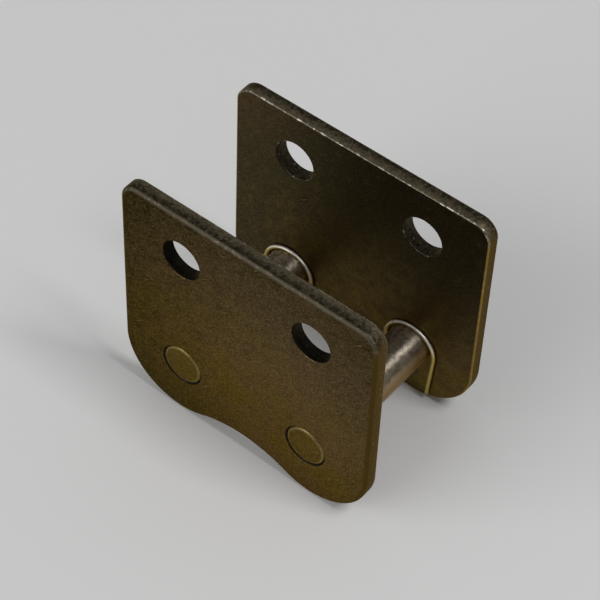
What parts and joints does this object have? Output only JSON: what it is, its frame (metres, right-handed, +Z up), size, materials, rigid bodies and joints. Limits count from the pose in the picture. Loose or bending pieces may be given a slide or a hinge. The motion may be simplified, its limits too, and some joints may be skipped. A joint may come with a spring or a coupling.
{
  "type": "roller chain attachment link",
  "caption": "Chain outer link: two flat waisted plates with raised drilled wings, joined by two round pins, each with a wire clip.",
  "frame": {"origin": "midway between the two pins and midway between the two plates, level with the bottoms of the lobes that the link stands on", "axes": "+X along the chain, from the left pin to the right pin; +Y along the pins, from the near plate to the far plate; +Z up from the lobes to the wings"},
  "size_m": [0.0372, 0.023, 0.0346],
  "materials": {
    "browned_plate": "browned and oiled, satin, finely mottled",
    "bright_pin": "ground and polished",
    "spring_wire": "bright drawn wire"
  },
  "bodies": {
    "near_plate_and_pins": {"near_plate": "browned_plate", "left_pin": "bright_pin", "right_pin": "bright_pin"},
    "far_plate": {"far_plate": "browned_plate"},
    "left_clip": {"left_pin_clip": "spring_wire"},
    "right_clip": {"right_pin_clip": "spring_wire"}
  },
  "joints": [
    {"name": "far_plate_pull", "type": "slide", "parent": "near_plate_and_pins", "child": "far_plate", "axis": [0, 1, 0], "range_m": [0, 0.03]},
    {"name": "left_clip_lift", "type": "slide", "parent": "near_plate_and_pins", "child": "left_clip", "axis": [0, 0, 1], "range_m": [0, 0.016]},
    {"name": "right_clip_lift", "type": "slide", "parent": "near_plate_and_pins", "child": "right_clip", "axis": [0, 0, 1], "range_m": [0, 0.016]}
  ]
}
